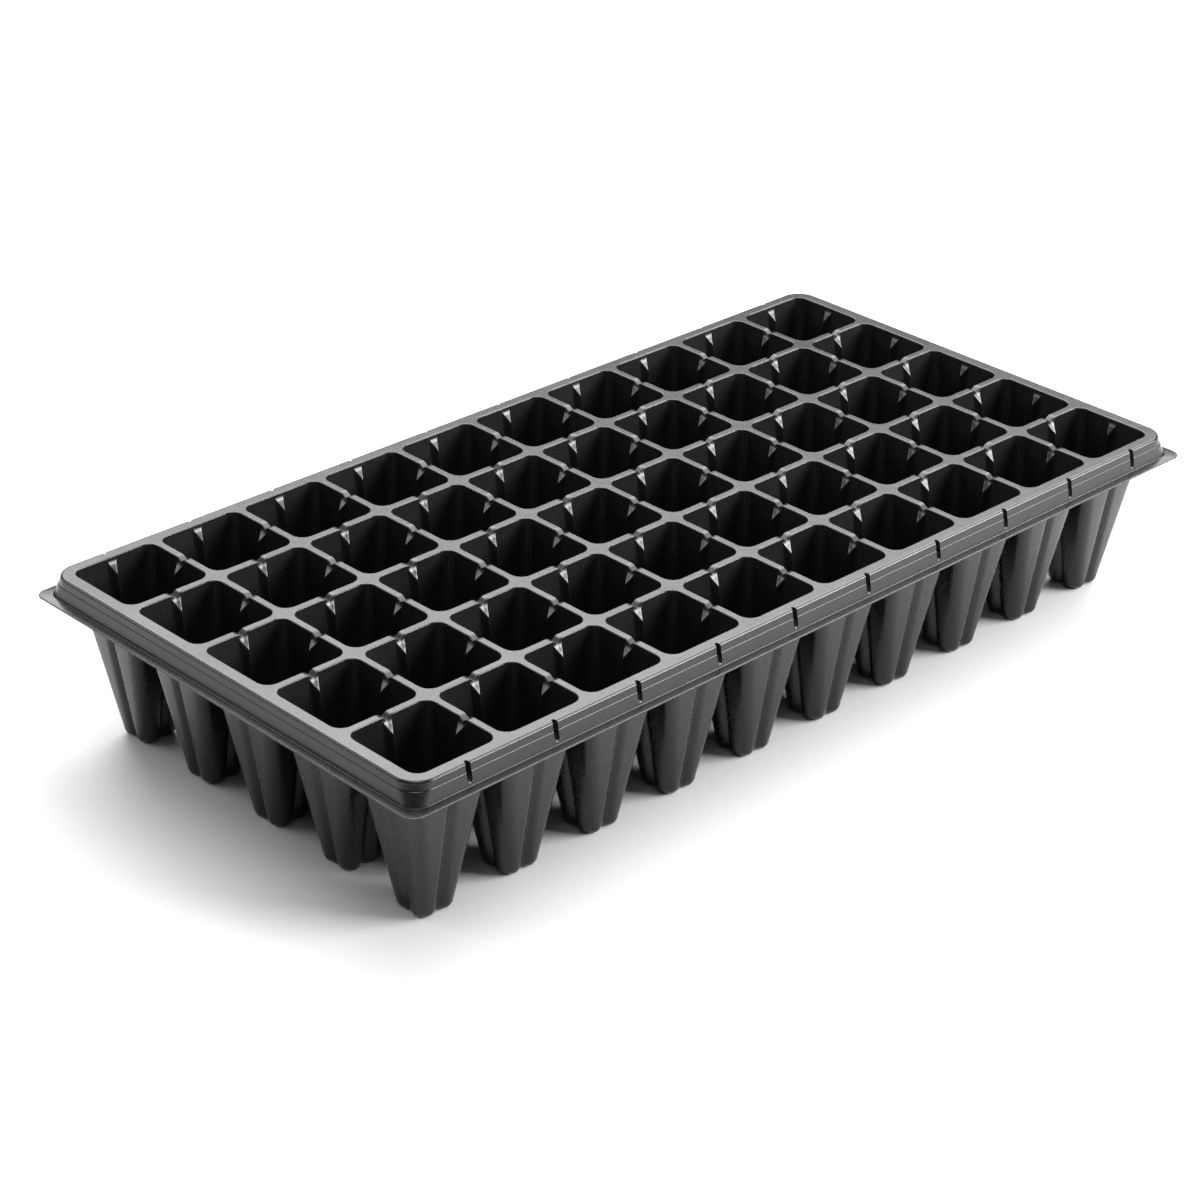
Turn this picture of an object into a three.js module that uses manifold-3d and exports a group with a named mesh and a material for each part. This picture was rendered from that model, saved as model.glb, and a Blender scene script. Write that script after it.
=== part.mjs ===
// A 50-cell plug tray: one thin sheet of black plastic, drawn down into ten by five tapered cups.
// The sheet is laid out region by region: one solid for each cup with its own square of deck, and
// eight solids for the rim around them. Neighbouring regions meet face to face on flat joints.
// Millimetres, +Z up. The origin is under the middle of the tray, on the plane of the cups' feet.

import * as THREE from "three";
import { ConvexGeometry } from "three/addons/geometries/ConvexGeometry.js";
import { mergeVertices } from "three/addons/utils/BufferGeometryUtils.js";
import Module from "manifold-3d";

// ---------------------------------------------------------------- driving dimensions

const TRAY_LENGTH = 540;
const TRAY_WIDTH = 280;
const TRAY_HEIGHT = 89;
const SHEET = 1;

const COLUMNS = 10;
const ROWS = 5;
const PITCH = 51.7;

// A cup, inside: square at every height, with cut corners and a V rib down the middle of each side.
const OPENING_WIDTH = 47.5;
const SHOULDER_WIDTH = 43.4;
const SHOULDER_DROP = 8;
const FLOOR_WIDTH = 19;
const OPENING_CORNER_CUT = 4.5;
const FLOOR_CORNER_CUT = 2.8;
const RIB_WIDTH = 4.4;
const RIB_DEPTH = 3;
const DRAIN_DIAMETER = 8;
const DRAIN_SIDES = 8;

// Outside, the same rib is a groove. A sheet of even thickness makes it narrower and shallower.
const GROOVE_WIDTH = 3.4;
const GROOVE_DEPTH = 2.2;

// The rim: the flat deck border, a stepped skirt below it, and a flange around the skirt's foot.
const FLANGE_DROP = 12.6;
const FLANGE_CORNER_RADIUS = 6;
const DECK_INSET = 6;
const DECK_EDGE_ROUND = 1.5;
const DECK_CORNER_RADIUS = 13;
const STEP_DROP = 4.7;
const STEP_WIDTH = 0.6;
const SKIRT_FOOT_INSET = 4;
const SKIRT_CORNER_RADIUS = 10;
const CORNER_SEGMENTS = 5;

// A slot stands in the long skirts in line with the middle of each cup.
const SLOT_WIDTH = 3;
const SLOT_DEPTH = 2.4;
const SLOT_TOP_DROP = 1;
const SLOT_BOTTOM_DROP = 10;

// ---------------------------------------------------------------- derived values

const DECK_TOP = TRAY_HEIGHT;
const DECK_UNDERSIDE = DECK_TOP - SHEET;
const FLANGE_UNDERSIDE = DECK_TOP - FLANGE_DROP;
const FLANGE_TOP = FLANGE_UNDERSIDE + SHEET;
const CELLS_LENGTH = COLUMNS * PITCH;
const CELLS_WIDTH = ROWS * PITCH;
const RIB_POINTS_PER_SIDE = 5;
const RIB_RIDGE_INDEX = 2;

const PLASTIC = { color: 0x1b1c1d, roughness: 0.42, metalness: 0 };

function blackPlastic() {
  return new THREE.MeshStandardMaterial(PLASTIC);
}

// ---------------------------------------------------------------- skins made of rings

// Collects the triangles of one closed skin.
class Skin {
  constructor() {
    this.positions = [];
  }

  triangle(a, b, c) {
    this.positions.push(...a, ...b, ...c);
  }

  // A wall between two rings of equal length, facing away from the rings' axis. Where the lower
  // ring has a ridge, the wall folds along the two lines that rise from it, which leaves one flat
  // sloping facet above the ridge.
  wall(lower, upper, ridgeAt = () => false) {
    lower.forEach((lowStart, i) => {
      const next = (i + 1) % lower.length;
      const lowEnd = lower[next];
      const upStart = upper[i];
      const upEnd = upper[next];
      if (ridgeAt(next)) {
        this.triangle(lowStart, lowEnd, upStart);
        this.triangle(lowEnd, upEnd, upStart);
      } else {
        this.triangle(lowStart, lowEnd, upEnd);
        this.triangle(lowStart, upEnd, upStart);
      }
    });
  }

  // The same wall turned to face the rings' axis.
  innerWall(lower, upper, ridgeAt) {
    const flipped = new Skin();
    flipped.wall(lower, upper, ridgeAt);
    this.addFlipped(flipped);
  }

  // A flat face inside one ring, less any holes, facing up.
  faceUp(ring, holes = []) {
    const flat = (points) => points.map(([x, y]) => new THREE.Vector2(x, y));
    const corners = [ring, ...holes].flat();
    const triangles = THREE.ShapeUtils.triangulateShape(flat(ring), holes.map(flat));
    for (const [a, b, c] of triangles) {
      this.triangle(corners[a], corners[b], corners[c]);
    }
  }

  faceDown(ring, holes = []) {
    const flipped = new Skin();
    flipped.faceUp(ring, holes);
    this.addFlipped(flipped);
  }

  addFlipped(other) {
    for (let i = 0; i < other.positions.length; i += 9) {
      const corner = (k) => other.positions.slice(i + 3 * k, i + 3 * k + 3);
      this.triangle(corner(2), corner(1), corner(0));
    }
  }

  geometry() {
    const geometry = new THREE.BufferGeometry();
    geometry.setAttribute("position", new THREE.Float32BufferAttribute(this.positions, 3));
    const merged = mergeVertices(geometry, 1e-4);
    merged.computeVertexNormals();
    return merged;
  }
}

// ---------------------------------------------------------------- cups

// One ring of a cup at height z: a square with cut corners and a V pointing inwards on each side.
function cupRing(halfWidth, cornerCut, ribWidth, ribDepth, z) {
  const side = [
    [halfWidth, cornerCut - halfWidth],
    [halfWidth, -ribWidth / 2],
    [halfWidth - ribDepth, 0],
    [halfWidth, ribWidth / 2],
    [halfWidth, halfWidth - cornerCut],
  ];
  const turns = [
    ([x, y]) => [x, y, z],
    ([x, y]) => [-y, x, z],
    ([x, y]) => [-x, -y, z],
    ([x, y]) => [y, -x, z],
  ];
  return turns.flatMap((turn) => side.map(turn));
}

function squareRing(halfWidth, z) {
  return [
    [halfWidth, -halfWidth, z],
    [halfWidth, halfWidth, z],
    [-halfWidth, halfWidth, z],
    [-halfWidth, -halfWidth, z],
  ];
}

function drainRing(z) {
  const ring = [];
  for (let i = 0; i < DRAIN_SIDES; i += 1) {
    const angle = ((i + 0.5) / DRAIN_SIDES) * 2 * Math.PI;
    const radius = DRAIN_DIAMETER / 2;
    ring.push([radius * Math.cos(angle), radius * Math.sin(angle), z]);
  }
  return ring;
}

// Where the corners are cut between the shoulder and the floor, by height.
function cornerCutAt(z) {
  const up = z / DECK_TOP;
  return FLOOR_CORNER_CUT + up * (OPENING_CORNER_CUT - FLOOR_CORNER_CUT);
}

// A cup with its square of deck: inner skin, outer skin, and a drain hole through the floor.
function cupGeometry() {
  const shoulder = DECK_TOP - SHOULDER_DROP;
  const inner = (width, z, depth) => cupRing(width / 2, cornerCutAt(z), RIB_WIDTH, depth, z);
  const outer = (width, z, depth) => {
    return cupRing(width / 2 + SHEET, cornerCutAt(z) + SHEET / 2, GROOVE_WIDTH, depth, z);
  };
  const innerTop = inner(OPENING_WIDTH, DECK_TOP, 0);
  const innerShoulder = inner(SHOULDER_WIDTH, shoulder, RIB_DEPTH);
  const innerFloor = inner(FLOOR_WIDTH, SHEET, RIB_DEPTH);
  const outerTop = outer(OPENING_WIDTH, DECK_UNDERSIDE, 0);
  const outerShoulder = outer(SHOULDER_WIDTH, shoulder - SHEET / 2, GROOVE_DEPTH);
  const outerFloor = outer(FLOOR_WIDTH, 0, GROOVE_DEPTH);
  const tileTop = squareRing(PITCH / 2, DECK_TOP);
  const tileBottom = squareRing(PITCH / 2, DECK_UNDERSIDE);
  const isRidge = (index) => index % RIB_POINTS_PER_SIDE === RIB_RIDGE_INDEX;

  const skin = new Skin();
  skin.faceUp(tileTop, [innerTop]);
  skin.innerWall(innerShoulder, innerTop, isRidge);
  skin.innerWall(innerFloor, innerShoulder);
  skin.faceUp(innerFloor, [drainRing(SHEET)]);
  skin.innerWall(drainRing(0), drainRing(SHEET));
  skin.faceDown(outerFloor, [drainRing(0)]);
  skin.wall(outerFloor, outerShoulder);
  skin.wall(outerShoulder, outerTop, isRidge);
  skin.faceDown(tileBottom, [outerTop]);
  skin.wall(tileBottom, tileTop);
  return skin.geometry();
}

function cups() {
  const group = new THREE.Group();
  const geometry = cupGeometry();
  for (let row = 0; row < ROWS; row += 1) {
    for (let column = 0; column < COLUMNS; column += 1) {
      const cup = new THREE.Mesh(geometry, blackPlastic());
      cup.name = `cell_row${row + 1}_col${String(column + 1).padStart(2, "0")}`;
      cup.position.x = (column - (COLUMNS - 1) / 2) * PITCH;
      cup.position.y = (row - (ROWS - 1) / 2) * PITCH;
      group.add(cup);
    }
  }
  return group;
}

// ---------------------------------------------------------------- booleans

const manifold = await Module();
manifold.setup();

function toSolid(geometry) {
  const bare = geometry.clone();
  bare.deleteAttribute("normal");
  bare.deleteAttribute("uv");
  const merged = mergeVertices(bare, 1e-4);
  return new manifold.Manifold(
    new manifold.Mesh({
      numProp: 3,
      vertProperties: new Float32Array(merged.attributes.position.array),
      triVerts: new Uint32Array(merged.index.array),
    }),
  );
}

function toGeometry(solid) {
  const { vertProperties, triVerts } = solid.getMesh();
  const geometry = new THREE.BufferGeometry();
  geometry.setAttribute("position", new THREE.BufferAttribute(vertProperties, 3));
  geometry.setIndex(new THREE.BufferAttribute(triVerts, 1));
  geometry.computeVertexNormals();
  return geometry;
}

function boxSolid(low, high) {
  const size = high.map((value, axis) => value - low[axis]);
  const middle = high.map((value, axis) => (value + low[axis]) / 2);
  return toSolid(new THREE.BoxGeometry(...size).translate(...middle));
}

// ---------------------------------------------------------------- rim

// The tray's outline, drawn in by an inset, with round corners, at height z.
function outlineRing(inset, cornerRadius, z) {
  const x = TRAY_LENGTH / 2 - inset - cornerRadius;
  const y = TRAY_WIDTH / 2 - inset - cornerRadius;
  const centres = [[x, y], [-x, y], [-x, -y], [x, -y]];
  return centres.flatMap(([centreX, centreY], quarter) => {
    const arc = new THREE.ArcCurve(
      centreX,
      centreY,
      cornerRadius,
      (quarter * Math.PI) / 2,
      ((quarter + 1) * Math.PI) / 2,
    );
    return arc.getPoints(CORNER_SEGMENTS).map((point) => [point.x, point.y, z]);
  });
}

// A solid block whose sides run through a stack of rings, from the lowest to the highest.
function stackSolid(rings) {
  const skin = new Skin();
  skin.faceDown(rings[0]);
  for (let i = 1; i < rings.length; i += 1) {
    skin.wall(rings[i - 1], rings[i]);
  }
  skin.faceUp(rings[rings.length - 1]);
  return toSolid(skin.geometry());
}

// The skirt and deck edge as insets from the tray's outline. The sheet's inner face is the same
// run of rings, one sheet thickness further in and lower.
function skirtRings(behind) {
  const lowered = (z) => z - behind;
  const stepHeight = DECK_TOP - STEP_DROP;
  return [
    outlineRing(SKIRT_FOOT_INSET + behind, SKIRT_CORNER_RADIUS, FLANGE_TOP - behind),
    outlineRing(DECK_INSET - STEP_WIDTH + behind, SKIRT_CORNER_RADIUS, lowered(stepHeight)),
    outlineRing(DECK_INSET + behind, DECK_CORNER_RADIUS, lowered(stepHeight + STEP_WIDTH / 2)),
    outlineRing(DECK_INSET + behind, DECK_CORNER_RADIUS, lowered(DECK_TOP - DECK_EDGE_ROUND)),
    outlineRing(DECK_INSET + DECK_EDGE_ROUND + behind, DECK_CORNER_RADIUS, lowered(DECK_TOP)),
  ];
}

// A slot's hollow, grown by a margin: a V wedge that narrows inwards, with a sloping lower end.
function slotSolid(x, side, margin) {
  const face = side * (TRAY_WIDTH / 2 - DECK_INSET + STEP_WIDTH * 2);
  const bottom = side * (TRAY_WIDTH / 2 - DECK_INSET - SLOT_DEPTH - margin);
  const half = SLOT_WIDTH / 2 + margin;
  const top = DECK_TOP - SLOT_TOP_DROP + Math.min(margin, SLOT_TOP_DROP);
  const low = DECK_TOP - SLOT_BOTTOM_DROP - margin;
  const corners = [
    [x - half, face, top],
    [x + half, face, top],
    [x, bottom, top],
    [x - half, face, low],
    [x + half, face, low],
    [x, bottom, low + SLOT_DEPTH],
  ];
  return toSolid(new ConvexGeometry(corners.map((corner) => new THREE.Vector3(...corner))));
}

function rimSolid() {
  const flange = [
    outlineRing(0, FLANGE_CORNER_RADIUS, FLANGE_UNDERSIDE),
    outlineRing(0, FLANGE_CORNER_RADIUS, FLANGE_TOP),
  ];
  const behind = skirtRings(SHEET);
  const hollowFoot = outlineRing(SKIRT_FOOT_INSET + SHEET, SKIRT_CORNER_RADIUS, 0);
  const outside = stackSolid([...flange, ...skirtRings(0)]);
  const inside = stackSolid([hollowFoot, ...behind]);
  let rim = outside.subtract(inside);
  for (let column = 0; column < COLUMNS; column += 1) {
    const x = (column - (COLUMNS - 1) / 2) * PITCH;
    for (const side of [-1, 1]) {
      const backing = slotSolid(x, side, SHEET).intersect(outside);
      rim = rim.add(backing).subtract(slotSolid(x, side, 0));
    }
  }
  const cells = boxSolid(
    [-CELLS_LENGTH / 2, -CELLS_WIDTH / 2, -1],
    [CELLS_LENGTH / 2, CELLS_WIDTH / 2, TRAY_HEIGHT + 1],
  );
  return rim.subtract(cells);
}

// The rim is divided where the corner cups end: four sides and four corners.
function rim() {
  const group = new THREE.Group();
  const whole = rimSolid();
  const x = CELLS_LENGTH / 2 - PITCH;
  const y = CELLS_WIDTH / 2 - PITCH;
  const farX = TRAY_LENGTH;
  const farY = TRAY_WIDTH;
  const regions = {
    rim_front: [-x, x, -farY, -y],
    rim_back: [-x, x, y, farY],
    rim_left: [-farX, -x, -y, y],
    rim_right: [x, farX, -y, y],
    rim_corner_front_left: [-farX, -x, -farY, -y],
    rim_corner_front_right: [x, farX, -farY, -y],
    rim_corner_back_left: [-farX, -x, y, farY],
    rim_corner_back_right: [x, farX, y, farY],
  };
  for (const [name, [lowX, highX, lowY, highY]] of Object.entries(regions)) {
    const region = boxSolid([lowX, lowY, 0], [highX, highY, TRAY_HEIGHT + 1]);
    const mesh = new THREE.Mesh(toGeometry(whole.intersect(region)), blackPlastic());
    mesh.name = name;
    group.add(mesh);
  }
  return group;
}

// ---------------------------------------------------------------- the tray

const tray = new THREE.Group();
tray.add(cups(), rim());

export default tray;
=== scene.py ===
"""A 50-cell plug tray of thermoformed black plastic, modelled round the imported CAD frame.

The tray is one thin sheet. Each cup and each stretch of rim is its own piece, a closed skin with
the sheet's real thickness, and neighbouring pieces meet face to face where the sheet is divided.
"""

import math

import bmesh
import bpy
import numpy as np
from mathutils import Matrix, Vector


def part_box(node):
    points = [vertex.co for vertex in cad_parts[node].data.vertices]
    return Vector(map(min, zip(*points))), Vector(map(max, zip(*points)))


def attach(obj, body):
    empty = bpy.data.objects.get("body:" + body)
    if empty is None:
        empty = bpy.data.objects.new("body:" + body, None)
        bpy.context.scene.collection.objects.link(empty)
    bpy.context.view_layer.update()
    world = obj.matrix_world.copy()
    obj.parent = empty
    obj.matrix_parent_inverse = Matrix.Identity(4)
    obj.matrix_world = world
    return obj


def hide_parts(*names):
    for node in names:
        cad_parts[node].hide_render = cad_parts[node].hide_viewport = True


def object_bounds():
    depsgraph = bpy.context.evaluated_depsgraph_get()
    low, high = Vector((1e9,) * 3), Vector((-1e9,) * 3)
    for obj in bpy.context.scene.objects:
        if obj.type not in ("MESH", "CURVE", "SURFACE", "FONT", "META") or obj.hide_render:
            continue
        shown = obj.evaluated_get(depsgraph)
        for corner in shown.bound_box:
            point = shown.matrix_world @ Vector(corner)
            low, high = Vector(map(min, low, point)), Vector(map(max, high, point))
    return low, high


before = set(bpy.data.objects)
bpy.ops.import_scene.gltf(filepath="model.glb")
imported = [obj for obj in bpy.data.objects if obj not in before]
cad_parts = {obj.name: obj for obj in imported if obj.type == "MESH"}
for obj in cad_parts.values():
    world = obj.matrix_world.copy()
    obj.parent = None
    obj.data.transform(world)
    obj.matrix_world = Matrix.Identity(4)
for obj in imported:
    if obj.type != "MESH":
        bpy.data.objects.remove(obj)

cad_bounds = [list(corner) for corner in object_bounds()]

# ---------------------------------------------------------------- sizes from the frame

FIRST_CELL_LOW, FIRST_CELL_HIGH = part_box("cell_row1_col01")
LAST_CELL_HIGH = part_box("cell_row5_col10")[1]
RIM_SIDE_LOW, RIM_SIDE_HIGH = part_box("rim_left")
RIM_FRONT_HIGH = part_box("rim_front")[1]

PITCH = FIRST_CELL_HIGH[0] - FIRST_CELL_LOW[0]
DECK_TOP = FIRST_CELL_HIGH[2]
FLANGE_UNDERSIDE = RIM_SIDE_LOW[2]
HALF_LENGTH = -cad_bounds[0][0]
HALF_WIDTH = -cad_bounds[0][1]
CELLS_HALF_LENGTH = LAST_CELL_HIGH[0]
CELLS_HALF_WIDTH = LAST_CELL_HIGH[1]
SIDE_PIECE_HALF_LENGTH = RIM_FRONT_HIGH[0]
SIDE_PIECE_HALF_WIDTH = RIM_SIDE_HIGH[1]

# ---------------------------------------------------------------- driving dimensions, in metres

MM = 0.001
SHEET = 1.0 * MM

# Points closer than the merge distance are made one. The flat margin is a narrow band beside a
# rounding that keeps the flat face next to it shaded flat.
MERGE_DISTANCE = 0.002 * MM
FLAT_MARGIN = 0.1 * MM
SHARP_ANGLE = math.radians(38)

# A cup. Half widths are measured from its middle to the inside of a flat side.
DECK_EDGE_HALF = 24.4 * MM
DECK_EDGE_RADIUS = 0.7 * MM
FLOOR_HALF = 9.5 * MM
OPENING_CORNER_RADIUS = 6.2 * MM
FLOOR_CORNER_RADIUS = 5.0 * MM
FLOOR_EDGE_RADIUS = 2.8 * MM
FOOT_EDGE_RADIUS = 4.6 * MM
UNDERSIDE_FILLET = 0.5 * MM
DRAIN_RADIUS = 3.8 * MM
DRAIN_LIP = 0.2 * MM

# How much of what the rounding of the floor or the foot takes off a side, its corners' radius
# loses too.
FOOT_CORNER_SHRINK = 0.5

# The V rib in the middle of each side: a ridge inside the cup and a groove outside it. Its top
# is cut off by one flat facet that slopes down from the deck to the ridge. The groove's facet,
# measured from the deck's underside, starts lower than the ridge's by the groove's lag.
RIB_TOP_WIDTH = 4.4 * MM
RIB_LOW_WIDTH = 5.0 * MM
RIB_FOOT_WIDTH = 7.0 * MM
RIB_FLARE_START = 76.0 * MM
RIB_DEPTH = 3.0 * MM
GROOVE_DEPTH = 2.3 * MM
GROOVE_EXTRA_WIDTH = 0.3 * MM
FACET_START = 2.8 * MM
FACET_DROP = 4.8 * MM
RIDGE_SOFTNESS = 0.3 * MM
RIB_FILLET = 0.9 * MM
GROOVE_FILLET = 1.3 * MM
RIB_NOSE = 0.35 * MM
GROOVE_LAG = 0.9 * SHEET

# The V notch that crosses each strip of deck between two cups, in line with their ribs.
NOTCH_WIDTH = 5.6 * MM
NOTCH_DEPTH = 1.8 * MM
NOTCH_FADE = 5.0 * MM
NOTCH_SOFTNESS = 0.7 * MM

# The rim, as insets from the flange's edge and drops below the deck.
DECK_INSET = 6.0 * MM
DECK_RIM_RADIUS = 1.6 * MM
DECK_CORNER_RADIUS = 12.4 * MM
SKIRT_CORNER_RADIUS = 9.0 * MM
FLANGE_CORNER_RADIUS = 6.0 * MM
STEP_TOP_DROP = 4.5 * MM
STEP_BOTTOM_DROP = 4.68 * MM
STEP_TOP_INSET = 5.58 * MM
STEP_BOTTOM_INSET = 5.42 * MM
STEP_EDGE = 0.05 * MM
SKIRT_FOOT_INSET = 4.35 * MM
SKIRT_FOOT_DROP = 10.9 * MM
FLANGE_UNDERSIDE_DROP = DECK_TOP - FLANGE_UNDERSIDE
FLANGE_FOLD_DROP = FLANGE_UNDERSIDE_DROP - 1.25 * MM
LIP_TOP_DROP = FLANGE_UNDERSIDE_DROP - 0.85 * MM
LIP_RADIUS = 0.35 * MM

# Angles on the section are in degrees: 0 faces outwards, 90 up, 180 inwards and 270 down. The
# deck's rounded edge stops short of facing outwards, to meet the sloping skirt. The flange
# runs out from a small fillet at the skirt's foot and falls slightly towards its lip.
EDGE_ROUND_START = 90
EDGE_ROUND_END = 5
SKIRT_FOOT_FILLET = 0.35 * MM
FOOT_FILLET_START = 190
FOOT_FILLET_END = 270
FLANGE_START_INSET = 3.4 * MM
FLANGE_START_FALL = 0.05 * MM
LIP_SUPPORT_RISE = 0.01 * MM

# The inside of the rim follows the outside one sheet in, with its turns eased off.
INSIDE_ROUND = 0.3 * MM
INSIDE_UPPER_START_DROP = DECK_RIM_RADIUS + 0.2 * MM
INSIDE_UPPER_END_DROP = 5.0 * MM
INSIDE_STEP_TOP_DROP = STEP_BOTTOM_DROP + 0.1 * MM
INSIDE_STEP_BOTTOM_DROP = STEP_BOTTOM_DROP + 0.7 * MM
INSIDE_FOOT_DROP = SKIRT_FOOT_DROP + 0.6 * MM
INSIDE_FOLD_INSET = SKIRT_FOOT_INSET + 0.5 * MM

# A slot in the long skirts in line with the middle of each cup. The sheet behind it is a little
# thinner. It ends in a ramp, and nothing of it is left below its end.
SLOT_WIDTH = 3.0 * MM
SLOT_DEPTH = 2.3 * MM
SLOT_SIDE_STEEPNESS = 1.7
SLOT_RAMP_DROP = 7.4 * MM
SLOT_RAMP_SLOPE = 1.7
SLOT_END_DROP = SKIRT_FOOT_DROP + 0.1 * MM
SLOT_SHEET = 0.8 * SHEET

# ---------------------------------------------------------------- mesh helpers


def grid_faces(rings, points, closed):
    """Quads between neighbouring rings of a grid; closed joins the last ring to the first."""
    faces = []
    for ring in range(rings if closed else rings - 1):
        following = (ring + 1) % rings
        for point in range(points):
            after = (point + 1) % points
            faces.append((
                ring * points + point,
                ring * points + after,
                following * points + after,
                following * points + point,
            ))
    return faces


def skin_mesh(name, rings, closed):
    """A closed mesh from a list of rings. An open run of rings gets a cap at each end."""
    grid = np.array(rings)
    ring_count, point_count = grid.shape[:2]
    faces = grid_faces(ring_count, point_count, closed)
    if not closed:
        last = (ring_count - 1) * point_count
        faces.append(tuple(range(point_count)))
        faces.append(tuple(last + point for point in range(point_count)))
    mesh = bpy.data.meshes.new(name)
    mesh.from_pydata(grid.reshape(-1, 3).tolist(), [], faces)
    work = bmesh.new()
    work.from_mesh(mesh)
    bmesh.ops.remove_doubles(work, verts=work.verts, dist=MERGE_DISTANCE)
    bmesh.ops.dissolve_degenerate(work, edges=work.edges, dist=MERGE_DISTANCE)
    bmesh.ops.recalc_face_normals(work, faces=work.faces)
    work.to_mesh(mesh)
    work.free()
    mesh.shade_smooth()
    mesh.set_sharp_from_angle(angle=SHARP_ANGLE)
    return mesh


def smooth_min(a, b, softness):
    """The smaller of two values, with the corner between them rounded off."""
    blend = np.clip(0.5 + 0.5 * (b - a) / softness, 0.0, 1.0)
    return b * (1 - blend) + a * blend - softness * blend * (1 - blend)


def smooth_positive(value, softness):
    """A value where it is above nought, and nought below, with the corner rounded off."""
    return -smooth_min(-value, np.zeros_like(value), softness)


def add_piece(name, mesh, material, nodes, place=(0.0, 0.0, 0.0)):
    """A piece of the tray that stands for the named CAD nodes and rides with the one body."""
    mesh.materials.clear()
    mesh.materials.append(material)
    piece = bpy.data.objects.new(name, mesh)
    bpy.context.scene.collection.objects.link(piece)
    piece.location = place
    bpy.context.view_layer.update()
    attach(piece, "root")
    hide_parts(*nodes)
    return piece


# ---------------------------------------------------------------- cups

SIDE_COUNT = 4

# A side's points, as distances from its middle: close together over the rib, then wider apart.
RIB_LINES = MM * np.array(
    [0.0, 0.2, 0.45, 0.7, 0.95, 1.2, 1.45, 1.7, 1.95, 2.2, 2.5, 2.8, 3.2, 3.8, 4.6]
)
SIDE_LINES = np.concatenate([-RIB_LINES[:0:-1], RIB_LINES])

# Steps round a cup's corners and over each of its roundings.
ARC_STEPS = 6
ARC_ANGLES = np.linspace(-math.pi / 2, 0.0, ARC_STEPS + 1)
DECK_EDGE_STEPS = 4
FLOOR_EDGE_STEPS = 4
FOOT_EDGE_STEPS = 5
UNDERSIDE_STEPS = 3

# Levels down a wall: over the facets and a little past them, over the rib and over its flare.
FACET_LEVELS = 22
FACET_MARGIN = 2 * MM
RIB_LEVELS = 3
FLARE_LEVELS = 5


def side_turn(points, side):
    """Points of the side that faces +X, turned onto side 0 to 3, a quarter turn each."""
    angle = side * math.pi / 2
    turn = np.array([[math.cos(angle), math.sin(angle)], [-math.sin(angle), math.cos(angle)]])
    turned = points.copy()
    turned[:, :2] = points[:, :2] @ turn
    return turned


def cup_ring(half, radius, height, push=None, lift=None):
    """One level of a cup: a square with round corners.

    push(lines, side) moves the middle of a side inwards and lift(lines, side) moves it up.
    """
    ring = []
    for side in range(SIDE_COUNT):
        corner = half - radius
        arc = np.zeros((ARC_STEPS + 1, 3))
        arc[:, 0] = corner + radius * np.cos(ARC_ANGLES)
        arc[:, 1] = -corner + radius * np.sin(ARC_ANGLES)
        middle = np.zeros((len(SIDE_LINES), 3))
        middle[:, 0] = half - (push(SIDE_LINES, side) if push else 0.0)
        middle[:, 1] = SIDE_LINES
        middle[:, 2] = lift(SIDE_LINES, side) if lift else 0.0
        points = np.concatenate([arc, middle])
        points[:, 2] += height
        ring.append(side_turn(points, side))
    return np.concatenate(ring)


def round_ring(radius, height, like):
    """A circle whose points lie in the directions of another ring's points."""
    flat = like[:, :2] / np.linalg.norm(like[:, :2], axis=1)[:, None]
    return np.column_stack([flat * radius, np.full(len(flat), height)])


def wall_half(drop):
    """Half the inside width of a cup at a depth below the deck."""
    top_half = DECK_EDGE_HALF - DECK_EDGE_RADIUS
    share = (drop - DECK_EDGE_RADIUS) / (DECK_TOP - SHEET - DECK_EDGE_RADIUS)
    return top_half + share * (FLOOR_HALF - top_half)


def corner_radius(drop):
    """A cup's corner radius at a depth below the deck."""
    share = drop / DECK_TOP
    return OPENING_CORNER_RADIUS + share * (FLOOR_CORNER_RADIUS - OPENING_CORNER_RADIUS)


def foot_radius(half, radius):
    """A corner radius held small enough to leave the whole rib on the straight of its side."""
    return min(radius, half - RIB_LINES[-1])


def rib_width(drop):
    """A rib's width at a depth below the deck: it flares out over the foot."""
    drops = [0.0, RIB_FLARE_START, DECK_TOP]
    return float(np.interp(drop, drops, [RIB_TOP_WIDTH, RIB_LOW_WIDTH, RIB_FOOT_WIDTH]))


def notch_share(drop):
    """How much of the notch's dip is left at a depth below the deck's edge."""
    return float(np.clip(1 - (drop - DECK_EDGE_RADIUS) / NOTCH_FADE, 0.0, 1.0))


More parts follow.
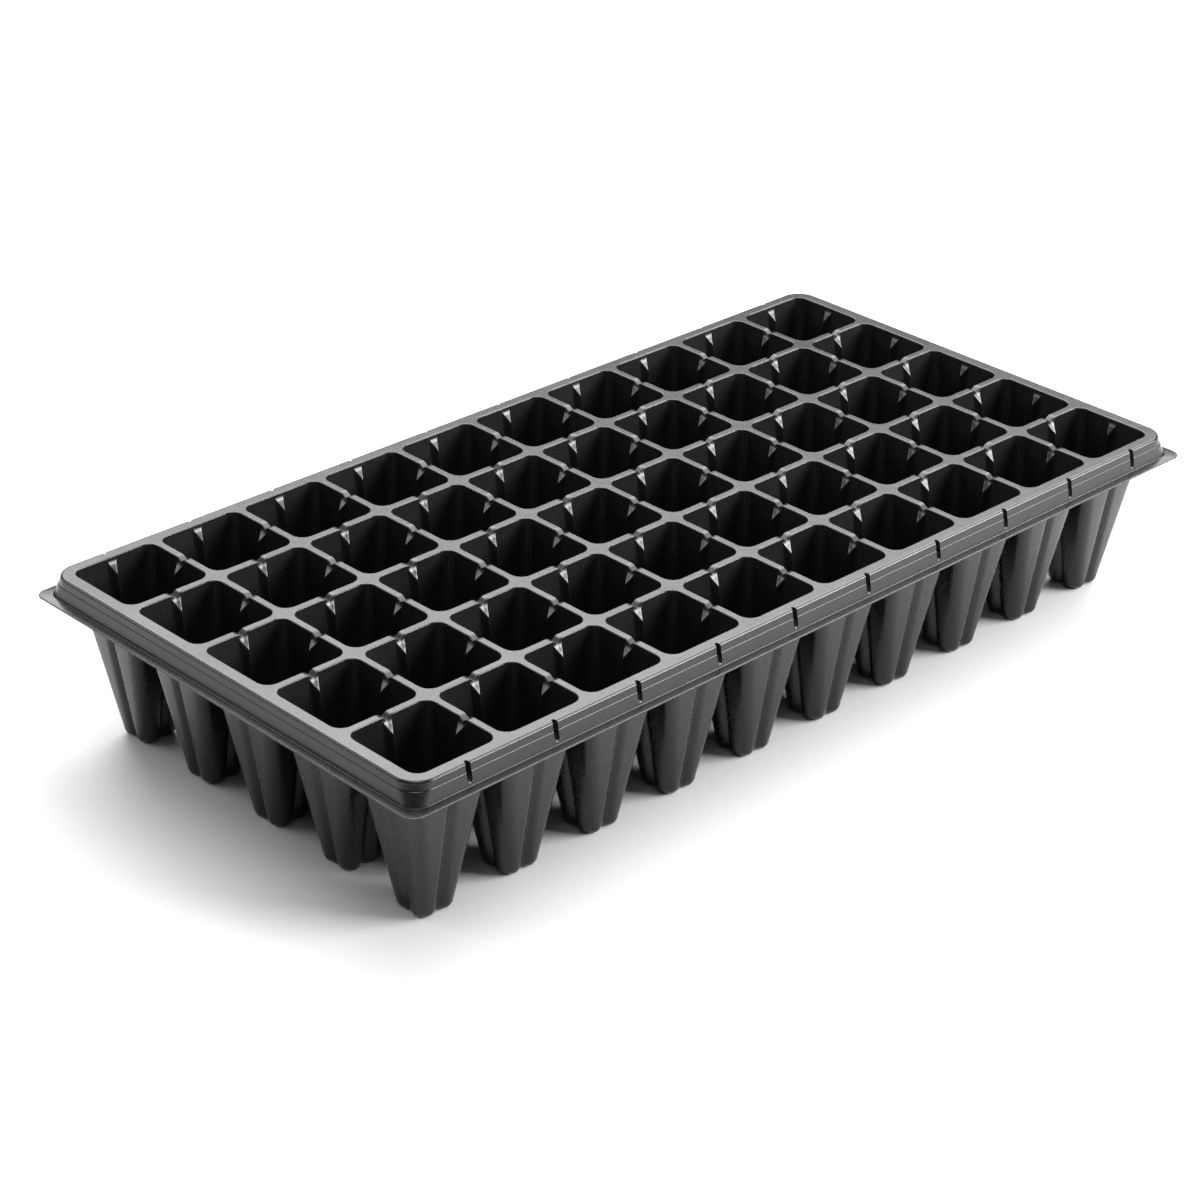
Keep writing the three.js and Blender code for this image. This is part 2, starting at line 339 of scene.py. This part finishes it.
class CupSurface:
    """The ribbed wall of a cup seen from one face of the sheet: its inside or its outside."""

    def __init__(self, notched_sides, depth, fillet, extra_width, lag):
        self.notched_sides = notched_sides
        self.depth = depth
        self.fillet = fillet
        self.extra_width = extra_width
        self.lag = lag

    def dip(self, lines, side, drop):
        """How far the sheet dips into the notches, as a soft V that fades out down the wall."""
        if side not in self.notched_sides:
            return np.zeros_like(lines)
        vee = NOTCH_DEPTH * (1 - np.abs(lines) / (NOTCH_WIDTH / 2))
        return notch_share(drop) * smooth_positive(vee, NOTCH_SOFTNESS)

    def rib(self, lines, side, drop):
        """How far the wall stands inwards: a V ridge, or the sloping facet where it is lower."""
        half_width = (rib_width(drop) + self.extra_width) / 2
        from_ridge = np.hypot(lines, RIB_NOSE) - RIB_NOSE
        ridge = self.depth * (1 - from_ridge / half_width)
        below = drop + self.dip(lines, side, drop) - FACET_START - self.lag
        facet = below * self.depth / FACET_DROP
        return smooth_positive(smooth_min(ridge, facet, RIDGE_SOFTNESS), self.fillet)

    def ring(self, half, radius, drop, depth_below_deck):
        """One ring of the surface at a drop; the dip and the rib are read at a depth."""
        return cup_ring(
            half,
            radius,
            DECK_TOP - drop,
            push=lambda lines, side: self.rib(lines, side, depth_below_deck),
            lift=lambda lines, side: -self.dip(lines, side, depth_below_deck),
        )

    def deck_ring(self, half, radius, drop):
        """One ring of flat deck, which dips into the notches and has no rib."""
        return cup_ring(
            half, radius, DECK_TOP - drop, lift=lambda lines, side: -self.dip(lines, side, 0.0)
        )


def quarter(steps):
    """Angles round a quarter turn, after its start and up to its end."""
    return [math.pi / 2 * (step + 1) / steps for step in range(steps)]


def wall_drops(first, last):
    """Depths of the rings down a wall: close together where the facets lie, then wide apart."""
    facet_end = FACET_START + FACET_DROP + FACET_MARGIN
    facet = np.linspace(first, facet_end, FACET_LEVELS)
    rib = np.linspace(facet_end, RIB_FLARE_START, RIB_LEVELS)[1:]
    flare = np.linspace(RIB_FLARE_START, last, FLARE_LEVELS)[1:]
    return np.concatenate([facet, rib, flare])


def inner_rings(notched_sides):
    """The skin seen from above: deck, rounded edge, ribbed wall, floor."""
    surface = CupSurface(notched_sides, RIB_DEPTH, RIB_FILLET, extra_width=0.0, lag=0.0)
    deck_radius = OPENING_CORNER_RADIUS + DECK_EDGE_RADIUS
    rings = [
        surface.deck_ring(PITCH / 2, 0.0, 0.0),
        surface.deck_ring(DECK_EDGE_HALF + FLAT_MARGIN, deck_radius + FLAT_MARGIN, 0.0),
        surface.deck_ring(DECK_EDGE_HALF, deck_radius, 0.0),
    ]
    for angle in quarter(DECK_EDGE_STEPS):
        inwards = DECK_EDGE_RADIUS * math.sin(angle)
        drop = DECK_EDGE_RADIUS * (1 - math.cos(angle))
        rings.append(surface.ring(DECK_EDGE_HALF - inwards, deck_radius - inwards, drop, drop))
    wall_end = DECK_TOP - SHEET - FLOOR_EDGE_RADIUS
    for drop in wall_drops(DECK_EDGE_RADIUS, wall_end)[1:]:
        rings.append(surface.ring(wall_half(drop), corner_radius(drop), drop, drop))
    for angle in quarter(FLOOR_EDGE_STEPS):
        inwards = FLOOR_EDGE_RADIUS * (1 - math.cos(angle))
        drop = wall_end + FLOOR_EDGE_RADIUS * math.sin(angle)
        half = wall_half(wall_end) - inwards
        radius = foot_radius(half, corner_radius(drop) - FOOT_CORNER_SHRINK * inwards)
        rings.append(surface.ring(half, radius, drop, drop))
    return rings


def outer_rings(notched_sides):
    """The skin seen from below, from the foot up: rounded foot, grooved wall, deck underside."""
    surface = CupSurface(
        notched_sides, GROOVE_DEPTH, GROOVE_FILLET, GROOVE_EXTRA_WIDTH, GROOVE_LAG
    )
    rings = []
    wall_start = DECK_TOP - FOOT_EDGE_RADIUS
    for angle in reversed([0.0] + quarter(FOOT_EDGE_STEPS)):
        inwards = FOOT_EDGE_RADIUS * (1 - math.cos(angle))
        drop = wall_start + FOOT_EDGE_RADIUS * math.sin(angle)
        half = wall_half(wall_start) + SHEET - inwards
        radius = foot_radius(half, corner_radius(drop) + SHEET - FOOT_CORNER_SHRINK * inwards)
        rings.append(surface.ring(half, radius, drop, drop))
    wall_top = SHEET + UNDERSIDE_FILLET
    for drop in reversed(wall_drops(wall_top, wall_start)[:-1]):
        radius = corner_radius(drop) + SHEET
        rings.append(surface.ring(wall_half(drop) + SHEET, radius, drop, drop - SHEET))
    for angle in quarter(UNDERSIDE_STEPS):
        outwards = UNDERSIDE_FILLET * (1 - math.cos(angle))
        rise = UNDERSIDE_FILLET * math.sin(angle)
        half = wall_half(wall_top) + SHEET + outwards
        radius = OPENING_CORNER_RADIUS + SHEET + outwards
        rings.append(surface.deck_ring(half, radius, wall_top - rise))
    rings.append(surface.deck_ring(PITCH / 2, 0.0, SHEET))
    return rings


def cup_mesh(name, notched_sides):
    """A whole cup: its inside, the drain hole through its floor, and its outside."""
    inside = inner_rings(notched_sides)
    outside = outer_rings(notched_sides)
    rings = [
        *inside,
        round_ring(DRAIN_RADIUS + DRAIN_LIP, SHEET, inside[-1]),
        round_ring(DRAIN_RADIUS, SHEET - DRAIN_LIP, inside[-1]),
        round_ring(DRAIN_RADIUS, 0.0, outside[0]),
        *outside,
    ]
    return skin_mesh(name, rings, closed=True)


def make_cups(material):
    """One piece for each cell node, notched on each side where another cup lies beyond.

    Cups with the same notches share one mesh.
    """
    meshes = {}
    for name in sorted(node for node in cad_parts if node.startswith("cell_")):
        low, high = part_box(name)
        middle = [(a + b) / 2 for a, b in zip(low, high)]
        room_beyond_side = [
            CELLS_HALF_LENGTH - high[0],
            CELLS_HALF_WIDTH - high[1],
            CELLS_HALF_LENGTH + low[0],
            CELLS_HALF_WIDTH + low[1],
        ]
        notched = tuple(side for side in range(SIDE_COUNT) if room_beyond_side[side] > PITCH / 2)
        if notched not in meshes:
            meshes[notched] = cup_mesh("cup_" + "".join(map(str, notched)), notched)
        piece_name = name.replace("cell_", "cup_")
        add_piece(piece_name, meshes[notched], material, [name], (middle[0], middle[1], 0.0))


# ---------------------------------------------------------------- rim

# Steps over the parts of the rim's section.
EDGE_ROUND_STEPS = 8
FOOT_FILLET_STEPS = 4
LIP_STEPS = 4
UPPER_SKIRT_STEPS = 6
LOWER_SKIRT_STEPS = 16
INSIDE_UPPER_STEPS = 4
INSIDE_LOWER_STEPS = 8

# Where the section stands along the rim. The slot offsets are distances from a slot's middle.
SLOT_OFFSETS = MM * np.array([0.0, 0.3, 0.6, 0.75, 0.9, 1.05, 1.2, 1.35, 1.5, 1.7, 2.0, 2.6])
SHORT_SIDE_STATIONS = 7
CORNER_STEPS = 12


def rim_radius(inset):
    """The corner radius of the rim's outline at an inset from the flange's edge."""
    insets = [0.0, SKIRT_FOOT_INSET, DECK_INSET, DECK_INSET + DECK_RIM_RADIUS]
    radii = [
        FLANGE_CORNER_RADIUS,
        SKIRT_CORNER_RADIUS,
        DECK_CORNER_RADIUS,
        DECK_CORNER_RADIUS - DECK_RIM_RADIUS,
    ]
    return float(np.interp(inset, insets, radii))


def rim_point(inset, drop):
    """A point of the rim's section: its half length, half width, corner radius and height."""
    return (HALF_LENGTH - inset, HALF_WIDTH - inset, rim_radius(inset), DECK_TOP - drop)


def cells_edge_point(drop):
    """A point of the rim's section on the sharp-cornered edge of the block of cups."""
    return (CELLS_HALF_LENGTH, CELLS_HALF_WIDTH, 0.0, DECK_TOP - drop)


def arc_points(centre_inset, centre_drop, radius, start, end, steps):
    """(inset, drop) points round an arc, from its start angle to its end angle."""
    points = []
    for step in range(steps + 1):
        angle = math.radians(start + (end - start) * step / steps)
        points.append((
            centre_inset - radius * math.cos(angle),
            centre_drop - radius * math.sin(angle),
        ))
    return points


def skirt_line(top, bottom, steps):
    """(inset, drop) points down a straight stretch of skirt, between its two end points."""
    (top_inset, top_drop), (bottom_inset, bottom_drop) = top, bottom
    return [
        (
            top_inset + (bottom_inset - top_inset) * step / steps,
            top_drop + (bottom_drop - top_drop) * step / steps,
        )
        for step in range(1, steps)
    ]


def flange_points():
    """The outside of the rim from the skirt's foot, over the flange and under its lip."""
    fillet_inset = SKIRT_FOOT_INSET - SKIRT_FOOT_FILLET
    fillet_drop = FLANGE_FOLD_DROP - SKIRT_FOOT_FILLET
    fillet = arc_points(
        fillet_inset,
        fillet_drop,
        SKIRT_FOOT_FILLET,
        FOOT_FILLET_START,
        FOOT_FILLET_END,
        FOOT_FILLET_STEPS,
    )
    return [
        *fillet,
        (FLANGE_START_INSET, FLANGE_FOLD_DROP + FLANGE_START_FALL),
        (LIP_RADIUS + FLAT_MARGIN, LIP_TOP_DROP - LIP_SUPPORT_RISE),
        *arc_points(LIP_RADIUS, LIP_TOP_DROP + LIP_RADIUS, LIP_RADIUS, 90, 0, LIP_STEPS),
        (0.0, FLANGE_UNDERSIDE_DROP - FLAT_MARGIN),
        (FLAT_MARGIN, FLANGE_UNDERSIDE_DROP),
    ]


def rim_outside():
    """The outside of the rim's section: deck edge, upper skirt, ledge, lower skirt, flange."""
    edge_round = arc_points(
        DECK_INSET + DECK_RIM_RADIUS,
        DECK_RIM_RADIUS,
        DECK_RIM_RADIUS,
        EDGE_ROUND_START,
        EDGE_ROUND_END,
        EDGE_ROUND_STEPS,
    )
    upper_end = (STEP_TOP_INSET, STEP_TOP_DROP)
    lower_start = (STEP_BOTTOM_INSET, STEP_BOTTOM_DROP + STEP_EDGE)
    lower_end = (SKIRT_FOOT_INSET, SKIRT_FOOT_DROP)
    return [
        (DECK_INSET + DECK_RIM_RADIUS + FLAT_MARGIN, 0.0),
        *edge_round,
        *skirt_line(edge_round[-1], upper_end, UPPER_SKIRT_STEPS),
        (STEP_TOP_INSET, STEP_TOP_DROP - STEP_EDGE),
        (STEP_TOP_INSET - STEP_EDGE, STEP_TOP_DROP + STEP_EDGE),
        (STEP_BOTTOM_INSET + STEP_EDGE, STEP_BOTTOM_DROP - STEP_EDGE),
        lower_start,
        *skirt_line(lower_start, lower_end, LOWER_SKIRT_STEPS),
        lower_end,
        *flange_points(),
    ]


def rim_inside():
    """The inside of the rim's section, one sheet in, from the deck to the flange's underside."""
    upper_start = (DECK_INSET + SHEET, DECK_RIM_RADIUS)
    upper_end = (STEP_TOP_INSET + SHEET, INSIDE_UPPER_END_DROP)
    lower_start = (STEP_BOTTOM_INSET + SHEET, INSIDE_STEP_BOTTOM_DROP)
    lower_end = (SKIRT_FOOT_INSET + SHEET, INSIDE_FOOT_DROP)
    return [
        (DECK_INSET + DECK_RIM_RADIUS, SHEET),
        (DECK_INSET + SHEET + INSIDE_ROUND, SHEET + INSIDE_ROUND),
        (DECK_INSET + SHEET, INSIDE_UPPER_START_DROP),
        *skirt_line(upper_start, upper_end, INSIDE_UPPER_STEPS),
        (STEP_TOP_INSET + SHEET, INSIDE_STEP_TOP_DROP),
        lower_start,
        *skirt_line(lower_start, lower_end, INSIDE_LOWER_STEPS),
        lower_end,
        (INSIDE_FOLD_INSET, FLANGE_UNDERSIDE_DROP),
    ]


def slot_limit(offset, drop, margin):
    """How far out the skirt may stand near a slot, as a half width, or None well clear of it."""
    half_width = SLOT_WIDTH / 2 + margin
    if abs(offset) >= half_width:
        return None
    depth = SLOT_DEPTH * min(1.0, SLOT_SIDE_STEEPNESS * (1 - abs(offset) / half_width))
    ramp = max(0.0, drop - SLOT_RAMP_DROP) * SLOT_RAMP_SLOPE
    return HALF_WIDTH - DECK_INSET - depth - margin + ramp


class RimSkin:
    """The rim's closed section, swept round the tray with the slots cut in its long sides."""

    def __init__(self):
        outer = rim_outside()
        inner = rim_inside()
        self.points = [cells_edge_point(0.0)]
        self.points += [rim_point(inset, drop) for inset, drop in outer]
        self.points += [rim_point(inset, drop) for inset, drop in reversed(inner)]
        self.points += [cells_edge_point(SHEET)]
        self.margins = [0.0] * (1 + len(outer)) + [SLOT_SHEET] * (len(inner) + 1)
        columns = round(2 * CELLS_HALF_LENGTH / PITCH)
        self.slot_places = [(column - (columns - 1) / 2) * PITCH for column in range(columns)]

    def on_long_side(self, x, side):
        """The section at x on the front (side -1) or the back (side 1)."""
        offset = min((x - place for place in self.slot_places), key=abs)
        ring = []
        for (_, half_width, _, height), margin in zip(self.points, self.margins):
            drop = DECK_TOP - height
            limit = slot_limit(offset, drop, margin)
            if limit is not None and drop < SLOT_END_DROP:
                half_width = min(half_width, max(limit, CELLS_HALF_WIDTH))
            ring.append((x, side * half_width, height))
        return ring

    def on_short_side(self, y, side):
        """The section at y on the left (side -1) or the right (side 1)."""
        return [(side * half_length, y, height) for half_length, _, _, height in self.points]

    def on_corner(self, share, x_side, y_side):
        """The section part of the way round a corner, from the long side to the short one."""
        angle = share * math.pi / 2
        ring = []
        for half_length, half_width, radius, height in self.points:
            x = half_length - radius + radius * math.sin(angle)
            y = half_width - radius + radius * math.cos(angle)
            ring.append((x_side * x, y_side * y, height))
        return ring


def long_side_stations(low, high, places):
    """Where the rim is sectioned between two x values: close together at each slot."""
    stations = {low, high}
    for place in places:
        if low < place < high:
            stations.update(float(place + offset) for offset in SLOT_OFFSETS)
            stations.update(float(place - offset) for offset in SLOT_OFFSETS)
    return sorted(stations)


def long_side_rings(skin, side):
    """The front (side -1) or back (side 1) piece, from left to right."""
    end = SIDE_PIECE_HALF_LENGTH
    return [skin.on_long_side(x, side) for x in long_side_stations(-end, end, skin.slot_places)]


def short_side_rings(skin, side):
    """The left (side -1) or right (side 1) piece, from front to back."""
    end = SIDE_PIECE_HALF_WIDTH
    return [skin.on_short_side(y, side) for y in np.linspace(-end, end, SHORT_SIDE_STATIONS)]


def corner_rings(skin, x_side, y_side):
    """A corner piece, from its cut on the long side round to its cut on the short side."""
    arc_start = HALF_LENGTH - DECK_INSET - DECK_CORNER_RADIUS
    long_side = long_side_stations(SIDE_PIECE_HALF_LENGTH, arc_start, skin.slot_places)
    rings = [skin.on_long_side(x_side * x, y_side) for x in long_side[:-1]]
    for step in range(CORNER_STEPS + 1):
        rings.append(skin.on_corner(step / CORNER_STEPS, x_side, y_side))
    rings.append(skin.on_short_side(y_side * SIDE_PIECE_HALF_WIDTH, x_side))
    return rings


def make_rim(material):
    """The four sides and the four corners of the rim, one piece for each node."""
    skin = RimSkin()
    runs = {
        "rim_front": long_side_rings(skin, -1),
        "rim_back": long_side_rings(skin, 1),
        "rim_left": short_side_rings(skin, -1),
        "rim_right": short_side_rings(skin, 1),
    }
    for y_name, y_side in (("front", -1), ("back", 1)):
        for x_name, x_side in (("left", -1), ("right", 1)):
            runs[f"rim_corner_{y_name}_{x_name}"] = corner_rings(skin, x_side, y_side)
    for node, rings in runs.items():
        add_piece(node.replace("rim_", "edge_"), skin_mesh(node, rings, False), material, [node])


# ---------------------------------------------------------------- materials

# Noise mostly stays between these two values, which are stretched over the range that is wanted.
NOISE_LOW = 0.3
NOISE_HIGH = 0.7

# The plastic. Scales are in patches per metre, and heights are in metres.
DARK_BLACK = (0.0048, 0.0048, 0.0050, 1.0)
LIGHT_BLACK = (0.0070, 0.0069, 0.0067, 1.0)
CLOUD_SCALE = 22.0
GRAIN_SCALE = 1400.0
RIPPLE_SCALE = 95.0
SMOOTH_ROUGHNESS = 0.26
DULL_ROUGHNESS = 0.32
GRAIN_ROUGHNESS = 0.03
RIPPLE_STRENGTH = 0.35
RIPPLE_HEIGHT = 0.00025
GRAIN_STRENGTH = 0.5
GRAIN_HEIGHT = 0.00003

# The floor.
FLOOR_GREY = (0.70, 0.70, 0.70, 1.0)
FLOOR_PALE = (0.74, 0.74, 0.74, 1.0)
FLOOR_CLOUD_SCALE = 3.0
FLOOR_ROUGHNESS = 0.9
FLOOR_SPECULAR = 0.1


def new_material(name):
    """A material with only a Principled shader, and a helper that adds and links nodes."""
    material = bpy.data.materials.new(name)
    material.use_nodes = True
    tree = material.node_tree
    shader = tree.nodes["Principled BSDF"]

    def add(kind, **inputs):
        node = tree.nodes.new(kind)
        for socket, value in inputs.items():
            target = node.inputs[socket.replace("_", " ")]
            if isinstance(value, bpy.types.NodeSocket):
                tree.links.new(value, target)
            else:
                target.default_value = value
        return node

    return material, tree, shader, add


def add_noise(add, place, scale, detail=3.0, roughness=0.5):
    """Noise read at a place in the row frame. Scale is in patches per metre."""
    noise = add("ShaderNodeTexNoise", Vector=place, Scale=scale, Detail=detail, Roughness=roughness)
    return noise.outputs["Fac"]


def add_range(add, noise, low, high):
    """Noise stretched to run from low to high."""
    node = add("ShaderNodeMapRange", Value=noise)
    node.inputs["From Min"].default_value = NOISE_LOW
    node.inputs["From Max"].default_value = NOISE_HIGH
    node.inputs["To Min"].default_value = low
    node.inputs["To Max"].default_value = high
    return node.outputs["Result"]


def add_mix(tree, factor, first, second):
    """Two colours mixed by a factor."""
    node = tree.nodes.new("ShaderNodeMix")
    node.data_type = "RGBA"
    tree.links.new(factor, node.inputs["Factor"])
    node.inputs["A"].default_value = first
    node.inputs["B"].default_value = second
    return node.outputs["Result"]


def black_plastic():
    """Satin black polystyrene sheet: a fine grain, soft ripples and a slightly cloudy gloss."""
    material, tree, shader, add = new_material("black_plastic")
    place = add("ShaderNodeNewGeometry").outputs["Position"]
    cloudy = add_noise(add, place, CLOUD_SCALE, detail=4.0)
    grain = add_noise(add, place, GRAIN_SCALE, detail=2.0, roughness=0.6)
    ripple = add_noise(add, place, RIPPLE_SCALE, detail=2.0)

    colour = add_mix(tree, cloudy, DARK_BLACK, LIGHT_BLACK)
    tree.links.new(colour, shader.inputs["Base Color"])

    base_roughness = add_range(add, cloudy, SMOOTH_ROUGHNESS, DULL_ROUGHNESS)
    grain_roughness = add_range(add, grain, -GRAIN_ROUGHNESS, GRAIN_ROUGHNESS)
    roughness = add("ShaderNodeMath")
    roughness.operation = "ADD"
    tree.links.new(base_roughness, roughness.inputs[0])
    tree.links.new(grain_roughness, roughness.inputs[1])
    tree.links.new(roughness.outputs[0], shader.inputs["Roughness"])

    ripple_bump = add(
        "ShaderNodeBump", Height=ripple, Strength=RIPPLE_STRENGTH, Distance=RIPPLE_HEIGHT
    )
    grain_bump = add("ShaderNodeBump", Height=grain, Strength=GRAIN_STRENGTH, Distance=GRAIN_HEIGHT)
    tree.links.new(ripple_bump.outputs["Normal"], grain_bump.inputs["Normal"])
    tree.links.new(grain_bump.outputs["Normal"], shader.inputs["Normal"])
    return material


def pale_floor():
    """A matt, nearly white studio floor, very slightly uneven in tone."""
    material, tree, shader, add = new_material("pale_floor")
    place = add("ShaderNodeNewGeometry").outputs["Position"]
    cloudy = add_noise(add, place, FLOOR_CLOUD_SCALE)
    colour = add_mix(tree, cloudy, FLOOR_GREY, FLOOR_PALE)
    tree.links.new(colour, shader.inputs["Base Color"])
    shader.inputs["Roughness"].default_value = FLOOR_ROUGHNESS
    shader.inputs["Specular IOR Level"].default_value = FLOOR_SPECULAR
    return material


# ---------------------------------------------------------------- stage

FLOOR_REACH = 12.0
LIGHT_DISTANCE = 2.4
STUDIO_BRIGHTNESS = 0.1

# Each softbox: its name, azimuth, elevation, width, height and brightness. Azimuths and
# elevations are in degrees, seen from the tray; azimuth 0 is +X and 90 is +Y.
SOFTBOXES = [
    ("back_softbox", 46, 52, 3.0, 2.2, 7.3),
    ("right_softbox", -20, 45, 1.8, 1.2, 3.0),
    ("low_right_softbox", -49, 22, 1.5, 0.9, 22.0),
    ("left_softbox", 130, 27, 1.6, 0.7, 4.4),
    ("top_softbox", 225, 66, 1.2, 1.2, 5.0),
]


def make_floor():
    """A pale floor under the feet, much wider than the view."""
    reach = FLOOR_REACH
    mesh = bpy.data.meshes.new("floor")
    corners = [(-reach, -reach, 0), (reach, -reach, 0), (reach, reach, 0), (-reach, reach, 0)]
    mesh.from_pydata(corners, [], [(0, 1, 2, 3)])
    mesh.materials.append(pale_floor())
    floor = bpy.data.objects.new("floor", mesh)
    bpy.context.scene.collection.objects.link(floor)


def add_softbox(name, azimuth, elevation, width, height, brightness):
    """A soft rectangular light that faces the middle of the deck."""
    around, up = math.radians(azimuth), math.radians(elevation)
    direction = Vector((
        math.cos(around) * math.cos(up),
        math.sin(around) * math.cos(up),
        math.sin(up),
    ))
    light = bpy.data.lights.new(name, "AREA")
    light.shape = "RECTANGLE"
    light.size = width
    light.size_y = height
    light.energy = brightness * math.pi * width * height
    lamp = bpy.data.objects.new(name, light)
    lamp.location = Vector((0.0, 0.0, DECK_TOP)) + direction * LIGHT_DISTANCE
    lamp.rotation_euler = direction.to_track_quat("Z", "Y").to_euler()
    bpy.context.scene.collection.objects.link(lamp)


def make_lights():
    """A tent of softboxes over the tray, open towards the camera, over a dim studio."""
    for softbox in SOFTBOXES:
        add_softbox(*softbox)
    world = bpy.data.worlds.new("studio")
    world.use_nodes = True
    background = world.node_tree.nodes["Background"]
    background.inputs["Color"].default_value = (1.0, 1.0, 1.0, 1.0)
    background.inputs["Strength"].default_value = STUDIO_BRIGHTNESS
    bpy.context.scene.world = world
    bpy.context.scene.view_settings.view_transform = "Standard"


# ---------------------------------------------------------------- camera

# From the middle of the deck to the lens, and from the middle of the deck to the aim point.
CAMERA_OFFSET = Vector((-0.9876, -0.9939, 0.6953))
CAMERA_AIM = Vector((-0.0879, -0.0652, 0.0))
CAMERA_ROLL = math.radians(0.80)
CAMERA_LENS = 92.64
CAMERA_SENSOR = 36.0
CAMERA_NEAR = 0.05
CAMERA_FAR = 50.0


def make_camera():
    """The photographed view: over the front left corner, with the front and left sides in sight."""
    deck_middle = Vector((0.0, 0.0, DECK_TOP))
    forward = (CAMERA_AIM - CAMERA_OFFSET).normalized()
    level_right = forward.cross(Vector((0.0, 0.0, 1.0))).normalized()
    level_up = level_right.cross(forward)
    right = level_right * math.cos(CAMERA_ROLL) + level_up * math.sin(CAMERA_ROLL)
    up = right.cross(forward)
    data = bpy.data.cameras.new("camera")
    data.lens = CAMERA_LENS
    data.sensor_width = CAMERA_SENSOR
    data.clip_start = CAMERA_NEAR
    data.clip_end = CAMERA_FAR
    camera = bpy.data.objects.new("camera", data)
    turn = Matrix((right, up, -forward)).transposed().to_4x4()
    camera.matrix_world = Matrix.Translation(deck_middle + CAMERA_OFFSET) @ turn
    bpy.context.scene.collection.objects.link(camera)
    bpy.context.scene.camera = camera


# ---------------------------------------------------------------- the scene


make_camera()
make_lights()
make_floor()
plastic = black_plastic()
make_cups(plastic)
make_rim(plastic)
